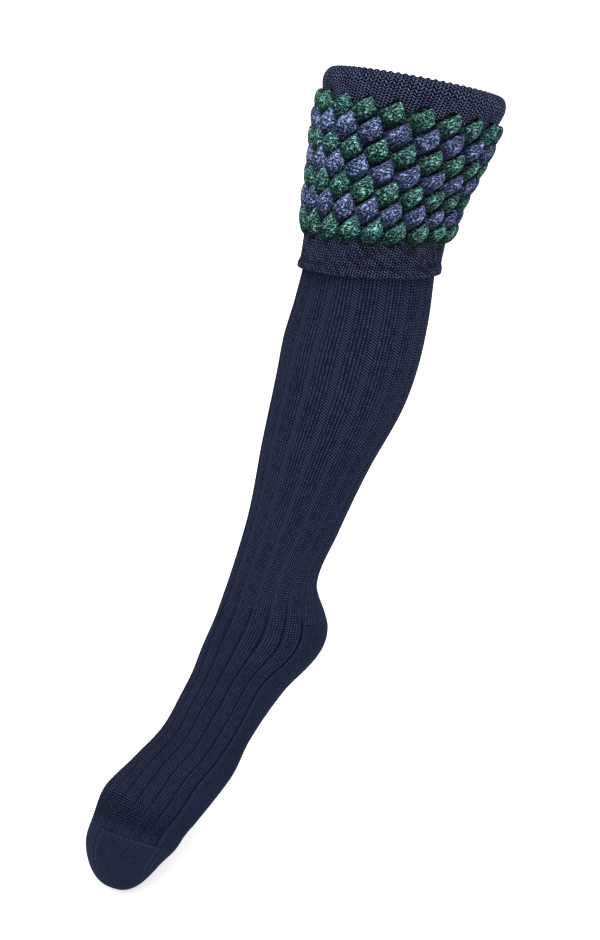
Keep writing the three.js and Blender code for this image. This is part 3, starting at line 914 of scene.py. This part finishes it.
@dataclass
class ToeCap:
    """The plain toe cap with its seam, gore lines and first rows."""

    form: SockForm
    columns: int = 144
    rows: int = 100
    stitches: int = 92
    knit_rows: float = 58.0
    seam_low: float = -75.0
    seam_high: float = 12.0
    seam_ease: float = 4.0
    seam_crest: float = 1.4
    seam_rise: float = 0.8
    first_course: float = 1.5
    course_pitch: float = 1.95
    gore_half: float = 5.0
    seam_light: float = 0.7
    seam_shade: float = 0.85
    course_light: float = 0.65
    gore_light: float = 2.2
    far_light: float = 0.25

    def build(self) -> None:
        """Makes the toe cap."""
        form = self.form

        def shape(across: Array, down: Array) -> tuple[Array, ...]:
            """Lays the grid round the toes, with crowded rows at the tip."""
            turn = across * FULL_TURN - np.pi
            degrees = np.degrees(turn)
            below = np.sin(down * np.pi / 2) * form.toe_cap_length
            on_top = smoothstep(degrees, self.seam_low - self.seam_ease, self.seam_low) * (
                1.0 - smoothstep(degrees, self.seam_high, self.seam_high + self.seam_ease))
            beads = on_top * (0.8 + 0.2 * np.cos(across * self.stitches * FULL_TURN))
            gore = self._gore(degrees, below)
            seam = self.seam_rise * bell(below - self.seam_crest, 0.9) * beads
            out = (seam + gore) * (1.0 - smoothstep(down, 0.9, 1.0))
            points = form.points(form.toe_seam + below, turn, out)
            # Painted light and shade: a highlight on the seam's beads, shade in the seam line, light and dark
            # first rows, highlights on the gore ridges and a lighter far side.
            painted_light = 1.0 + self.seam_light * beads * bell(below - self.first_course, 0.8)
            painted_light = painted_light - self.seam_shade * on_top * bell(below, 0.6)
            painted_light = painted_light + self.course_light * on_top * self._courses(degrees, below)
            painted_light = painted_light + self.gore_light * np.clip(gore, 0.0, None)
            painted_light = painted_light + self.far_light * smoothstep(degrees, self.seam_high + 4.0, self.seam_high + 10.0)
            row = form.knit_rows(form.toe_seam + down * self.knit_rows)
            return points, across * self.stitches, row, painted_light

        piece = knit_sheet("toe_cap", self.columns, self.rows, shape, form.leg_wall)
        finish_piece(piece, NAVY_PLAIN, "navy_knit", "toe")

    def _courses(self, degrees: Array, below: Array) -> Array:
        """Returns the painted light and shade of the first rows below the seam, which show at the front."""
        courses = np.cos((below - self.first_course) / self.course_pitch * FULL_TURN)
        shown = smoothstep(below, self.first_course, 3.0) * (1.0 - smoothstep(below, 8.0, 14.0))
        return courses * shown * smoothstep(degrees, -55.0, -20.0)

    def _gore(self, degrees: Array, below: Array) -> Array:
        """Returns the shallow double line where the toe is narrowed at its two sides."""
        total = np.zeros_like(degrees)
        for edge, lean in ((self.seam_low, -0.35), (self.seam_high, 0.15)):
            gap = np.abs(degrees - (edge + lean * below))
            total += 0.25 * bell(gap - self.gore_half, 2.5) - 0.45 * bell(gap, 2.2)
        return total * smoothstep(below, 0.0, 4.0)


@dataclass
class CuffPattern:
    """How the cuff is divided into rows of bobbles."""

    form: SockForm
    fold_band: float = 20.0
    welt: float = 25.0
    rows: int = 7
    bobbles: int = 20
    point: float = 3.6
    twist: float = 1.8
    first_turn: float = 1.5
    stitches: int = 75
    ridge: float = 0.2
    overlap: float = 0.4
    row_pitch: float = 1.8
    wall: float = 1.6

    @property
    def pitch(self) -> float:
        """The height of a row of bobbles."""
        return (self.form.cuff_depth - self.fold_band - self.welt) / self.rows

    def turn(self, distance: Array | float, place: Array | float) -> Array:
        """Returns the turn at a distance from the fold and a place round it, counted in bobbles."""
        rows = (distance - self.fold_band) / self.pitch - 0.5
        return place * FULL_TURN / self.bobbles + np.radians(self.first_turn + self.twist * rows)

    def stagger(self, row: int) -> float:
        """Returns how far a row is moved sideways, in bobbles."""
        return 0.0 if row % 2 == 0 else 0.5

    def border(self, row: int, place: Array) -> Array:
        """Returns the distance of the wavy border above a row, at a place counted in bobbles."""
        wave = np.cos(FULL_TURN * (place + self.stagger(row)))
        return self.fold_band + row * self.pitch - self.point * wave


@dataclass
class CuffFold:
    """The turned-over top: up inside, over in a soft roll and down outside as a plain band."""

    pattern: CuffPattern
    columns: int = 600
    rows: int = 60
    inner_drop: float = 6.0
    outer_drop: float = 9.5
    inner_end: float = 13.0
    bulge: float = 0.9
    bulge_reach: float = 9.0
    scallop: float = 0.5

    def build(self) -> None:
        """Makes the fold."""
        pattern, form = self.pattern, self.pattern.form
        inner, full = -form.leg_wall, float(form.cuff_outer(self.outer_drop)) + self.bulge
        crest = (inner + full) / 2
        half = full - crest
        arc = math.pi / 2 * (half + (self.inner_drop + self.outer_drop) / 2)

        def shape(across: Array, down: Array) -> tuple[Array, ...]:
            """Lays the grid over the roll, from inside to outside."""
            place = across * pattern.bobbles
            low = pattern.border(0, place) + pattern.overlap
            inside = self.inner_end - self.inner_drop
            run = down * (inside + arc + low - self.outer_drop)
            angle = np.clip((run - inside) / arc, 0.0, 1.0) * math.pi
            drop = np.where(angle < math.pi / 2, self.inner_drop, self.outer_drop)
            distance = drop * (1.0 - np.sin(angle)) + np.clip(inside - run, 0.0, None)
            distance = distance + np.clip(run - inside - arc, 0.0, None)
            below = np.clip(distance - self.outer_drop, 0.0, None) * (angle > math.pi / 2)
            off = crest - np.cos(angle) * half - self.bulge * smoothstep(below, 0.0, self.bulge_reach)
            off = off + np.where(below > 0.0, form.cuff_outer(distance) - form.cuff_outer(self.outer_drop), 0.0)
            column = across * pattern.stitches
            off = off - pattern.ridge * smoothstep(angle, 1.0, 2.0) * np.cos(column * 2 * FULL_TURN)
            distance = distance - self.scallop * np.sin(angle) ** 2 * np.cos(column * FULL_TURN)
            points = form.points(distance, pattern.turn(distance, place), off)
            return points, column, run / pattern.row_pitch

        piece = knit_sheet("cuff_fold_band", self.columns, self.rows, shape, pattern.wall)
        finish_piece(piece, NAVY_FOLD, "navy_cuff_knit", "cuff_fold")


@dataclass
class CuffWelt:
    """The plain lower band of the cuff with its rolled edge."""

    pattern: CuffPattern
    columns: int = 600
    rows: int = 34
    roll: float = 1.0
    hem: float = 3.4
    hem_turn: float = 0.8 * math.pi
    tuck: float = 1.5
    top_dip: float = 0.5
    line_above_hem: float = 6.5
    line_shade: float = 0.4
    hem_shade: float = 0.6

    def build(self) -> None:
        """Makes the welt."""
        pattern, form = self.pattern, self.pattern.form

        def shape(across: Array, down: Array) -> tuple[Array, ...]:
            """Lays the grid down the band and under its edge."""
            place = across * pattern.bobbles
            start = pattern.border(pattern.rows, place) - pattern.overlap
            straight = form.cuff_depth - self.roll - start
            run = down * (straight + self.hem)
            under = np.clip(run - straight, 0.0, None) / self.hem
            angle = under * self.hem_turn
            swell = self.roll * smoothstep(run, straight - 6.0, straight - 2.5)
            distance = start + np.minimum(run, straight) + np.sin(angle) * self.roll
            off = form.cuff_outer(distance) + swell - (1.0 - np.cos(angle)) * self.tuck
            column = across * pattern.stitches
            off = off - pattern.ridge * np.cos(column * 2 * FULL_TURN) - self.top_dip * bell(run, 2.0)
            points = form.points(distance, pattern.turn(distance, place), off)
            # Painted shadow: a dark line above the rolled hem, and painted shade under the roll.
            painted_light = 1.0 - self.line_shade * bell(run - straight + self.line_above_hem, 1.2)
            painted_light = painted_light - self.hem_shade * smoothstep(under, 0.0, 0.6)
            return points, column, (start + run) / pattern.row_pitch, painted_light

        piece = knit_sheet("cuff_welt_band", self.columns, self.rows, shape, pattern.wall)
        finish_piece(piece, NAVY_WELT, "navy_cuff_knit", "cuff_welt")


@dataclass
class Bobbles:
    """Staggered rows of leaf-shaped bobbles on a knitted ground."""

    pattern: CuffPattern
    width: float = 17.0
    height: float = 21.0
    upper_roundness: float = 1.0
    lower_roundness: float = 1.8
    rise: float = 6.6
    crown: float = 0.85
    root: float = 1.5
    lift: float = 3.2
    lift_curve: float = 1.5
    lean: float = 3.6
    sink: float = 2.0
    fill: float = 1.0
    end_row_share: float = 0.88
    segments: int = 18
    rings: int = 12
    ground_columns: int = 240
    ground_rows: int = 10
    ground_wall: float = 1.5
    # Painted shade of the ground between the bobbles, and painted light and shade of each bobble.
    ground_painted_shade: float = 0.3
    least_light: float = 0.1
    lit_part: tuple[float, float] = (-0.55, 0.5)
    side_light: float = 0.3
    stitch: float = 2.0
    row_pitch: float = 1.6
    place_luck: float = 0.4
    turn_luck: float = 0.6
    size_luck: float = 0.05
    rise_luck: float = 0.08
    yarn_luck: float = 400.0

    def build(self) -> None:
        """Makes every row, green and blue in turn."""
        leaf = self._leaf()
        for row in range(self.pattern.rows):
            self._row(row, leaf)
        bpy.data.objects.remove(leaf)

    def _leaf(self) -> bpy.types.Object:
        """Returns one bobble, flat on the ground, with its tip up: x across, y up and z out."""
        deselect()
        bpy.ops.mesh.primitive_uv_sphere_add(segments=self.segments, ring_count=self.rings, radius=1.0)
        leaf = bpy.context.object
        mesh = leaf.data
        ball = read_points(mesh)
        x, y, z = ball[:, 0], ball[:, 2], -ball[:, 1]
        far = np.maximum(np.hypot(x, y), TINY)
        power = np.where(y > 0.0, self.upper_roundness, self.lower_roundness)
        kite = ((np.abs(x) / far) ** power + (np.abs(y) / far) ** power) ** (-1.0 / power)
        kite = 1.0 + (kite - 1.0) * far**2
        tall = y * kite * self.height / 2
        width = x * kite * self.width / 2 + self.lean * y
        proud = np.where(z > 0.0, np.abs(z) ** self.crown * self.rise, z * self.root)
        proud = proud + self.lift * (0.5 + 0.5 * y) ** self.lift_curve
        mesh.vertices.foreach_set("co", np.stack([width, tall, proud], axis=-1).ravel())
        # Painted light and shade: each bobble is lit at its upper right and shaded at its lower left and
        # towards its edges.
        face = np.sqrt(np.clip(z, 0.0, 1.0))
        lit = self.least_light + smoothstep(y * 0.85 + x * 0.3, *self.lit_part)
        set_painted_light(mesh, lit * between(face, self.side_light, 1.0))
        column = np.arcsin(np.clip(x, -1.0, 1.0)) * self.width / 2 / self.stitch
        line = -np.arcsin(np.clip(y, -1.0, 1.0)) * self.height / 2 / self.row_pitch
        set_knit(mesh, column, line)
        bpy.ops.object.shade_smooth()
        return leaf

    def _row(self, row: int, leaf: bpy.types.Object) -> None:
        """Makes one row, counted from 0, of copies of the leaf on a knitted ground."""
        pattern, form = self.pattern, self.pattern.form

        def shape(across: Array, down: Array) -> tuple[Array, ...]:
            """Lays the ground of the row round the cuff."""
            place = across * pattern.bobbles
            top, bottom = pattern.border(row, place), pattern.border(row + 1, place)
            distance = between(down, top, bottom)
            points = form.points(distance, pattern.turn(distance, place), form.cuff_outer(distance) - self.sink)
            # The ground between the bobbles is darkened by painted shade.
            return points, across * pattern.stitches, distance / self.row_pitch, self.ground_painted_shade

        name = f"bobbles_{row + 1}"
        ground = knit_sheet(name, self.ground_columns, self.ground_rows, shape, self.ground_wall)
        copies = [self._copy(row, index, leaf) for index in range(pattern.bobbles)]
        deselect()
        for piece in (*copies, ground):
            piece.select_set(True)
        bpy.context.view_layer.objects.active = ground
        bpy.ops.object.join()
        finish, slot = ((GREEN_BOBBLE, "green_knit"), (BLUE_BOBBLE, "blue_knit"))[row % 2]
        finish_piece(ground, finish, slot, f"bobble_row_{row + 1}")

    def _copy(self, row: int, index: int, leaf: bpy.types.Object) -> bpy.types.Object:
        """Returns a copy of the leaf, bent round the cuff at its place in a row, a little different."""
        pattern, form = self.pattern, self.pattern.form
        copy = leaf.copy()
        copy.data = leaf.data.copy()
        bpy.context.collection.objects.link(copy)
        mesh = copy.data
        wide, tall, proud = read_points(mesh).T
        luck = np.random.default_rng(97 * row + index).uniform(-1.0, 1.0, 6)
        centre = pattern.fold_band + (row + 0.5) * pattern.pitch + self.place_luck * luck[0]
        middle = pattern.turn(centre, index + pattern.stagger(row)) + math.radians(self.turn_luck * luck[1])
        section = form.sections(np.array([centre]))[0]
        radius = (section[1] + section[2]) / 2 + float(form.cuff_outer(centre))
        size = 1.0 + self.size_luck * luck[2]
        squeeze = radius * FULL_TURN / pattern.bobbles / self.width * self.fill
        ends = ((row == 0) & (tall > 0.0)) | ((row == pattern.rows - 1) & (tall < 0.0))
        tall = np.where(ends, tall * self.end_row_share, tall)
        turn = middle - wide * squeeze * size / radius
        distance = centre - tall * size
        out = form.cuff_outer(distance) - self.sink + proud * (1.0 + self.rise_luck * luck[3])
        mesh.vertices.foreach_set("co", (form.points(distance, turn, out) * METRES).ravel())
        mesh.update()
        layer = mesh.uv_layers[0].data
        shift = np.empty(len(mesh.loops) * 2)
        layer.foreach_get("uv", shift)
        layer.foreach_set("uv", shift + np.tile(np.round(luck[4:6] * self.yarn_luck), len(mesh.loops)))
        deselect()
        copy.select_set(True)
        bpy.context.view_layer.objects.active = copy
        bpy.ops.object.mode_set(mode="EDIT")
        bpy.ops.mesh.select_all(action="SELECT")
        bpy.ops.mesh.normals_make_consistent(inside=False)
        bpy.ops.object.mode_set(mode="OBJECT")
        return copy


@dataclass
class Studio:
    """A plain white floor that glows a little, soft light and the camera, with lengths in metres."""

    floor_size: float = 24.0
    floor_gap: float = 0.005
    floor_glow: float = 0.4
    target: tuple[float, float, float] = (-0.108, 0.0, -0.270)
    azimuth: float = -40.0
    elevation: float = 26.0
    reach: float = 0.970
    lens: float = 49.53
    sensor: float = 36.0
    room_light: float = 0.55
    lamp_light: float = 4.0
    lamp_spread: float = 70.0
    lamp_from: tuple[float, float, float] = (-0.30, -0.36, 0.88)

    def build(self) -> None:
        """Makes the floor, the light and the camera."""
        self._floor()
        self._world()
        self._lamp()
        self._camera()

    def _floor(self) -> None:
        """Lays the floor under the tip of the toes."""
        deselect()
        low = float(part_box("toe")[0].z)
        bpy.ops.mesh.primitive_plane_add(size=self.floor_size, location=(0.0, 0.0, low - self.floor_gap))
        floor = bpy.context.object
        floor.name = "floor"
        bench = Bench("white_floor")
        grain = bench.noise(bench.node("ShaderNodeTexCoord", "Object"), 3.0, 2.0)
        floor.data.materials.append(bench.surface({
            "Base Color": bench.tint(grain, (0.87, 0.87, 0.87), (0.9, 0.9, 0.9)),
            "Roughness": 0.9,
            "Specular IOR Level": 0.1,
            "Emission Color": WHITE,
            "Emission Strength": self.floor_glow,
        }))

    def _world(self) -> None:
        """Fills the room with even white light."""
        world = bpy.data.worlds.new("white_room")
        world.use_nodes = True
        background = world.node_tree.nodes["Background"]
        background.inputs[0].default_value = WHITE
        background.inputs[1].default_value = self.room_light
        bpy.context.scene.world = world

    def _lamp(self) -> None:
        """Hangs one very wide soft lamp above and in front."""
        lamp = bpy.data.lights.new("soft_lamp", "SUN")
        lamp.energy, lamp.angle = self.lamp_light, math.radians(self.lamp_spread)
        holder = bpy.data.objects.new("soft_lamp", lamp)
        bpy.context.scene.collection.objects.link(holder)
        holder.rotation_euler = Vector(self.lamp_from).to_track_quat("Z", "Y").to_euler()

    def _camera(self) -> None:
        """Puts the camera at the photograph's angle."""
        turn, rise = math.radians(self.azimuth), math.radians(self.elevation)
        away = Vector((math.sin(turn) * math.cos(rise), -math.cos(turn) * math.cos(rise), math.sin(rise)))
        data = bpy.data.cameras.new("camera")
        data.lens, data.sensor_width = self.lens, self.sensor
        data.clip_start, data.clip_end = 0.01, 100.0
        camera = bpy.data.objects.new("camera", data)
        bpy.context.scene.collection.objects.link(camera)
        camera.location = Vector(self.target) + away * self.reach
        camera.rotation_euler = (-away).to_track_quat("-Z", "Y").to_euler()
        bpy.context.scene.camera = camera


def main() -> None:
    """Builds the sock and its studio in order."""
    logging.basicConfig(level=logging.INFO, format="%(name)s: %(message)s")
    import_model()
    bpy.context.scene.view_settings.view_transform = "Standard"
    form = SockForm()
    ribs = RibbedKnit(form)
    pattern = CuffPattern(form)
    Studio().build()
    Leg(form, ribs).build()
    Foot(form, ribs).build()
    ToeCap(form).build()
    CuffFold(pattern).build()
    Bobbles(pattern).build()
    CuffWelt(pattern).build()


if __name__ == "__main__":
    main()
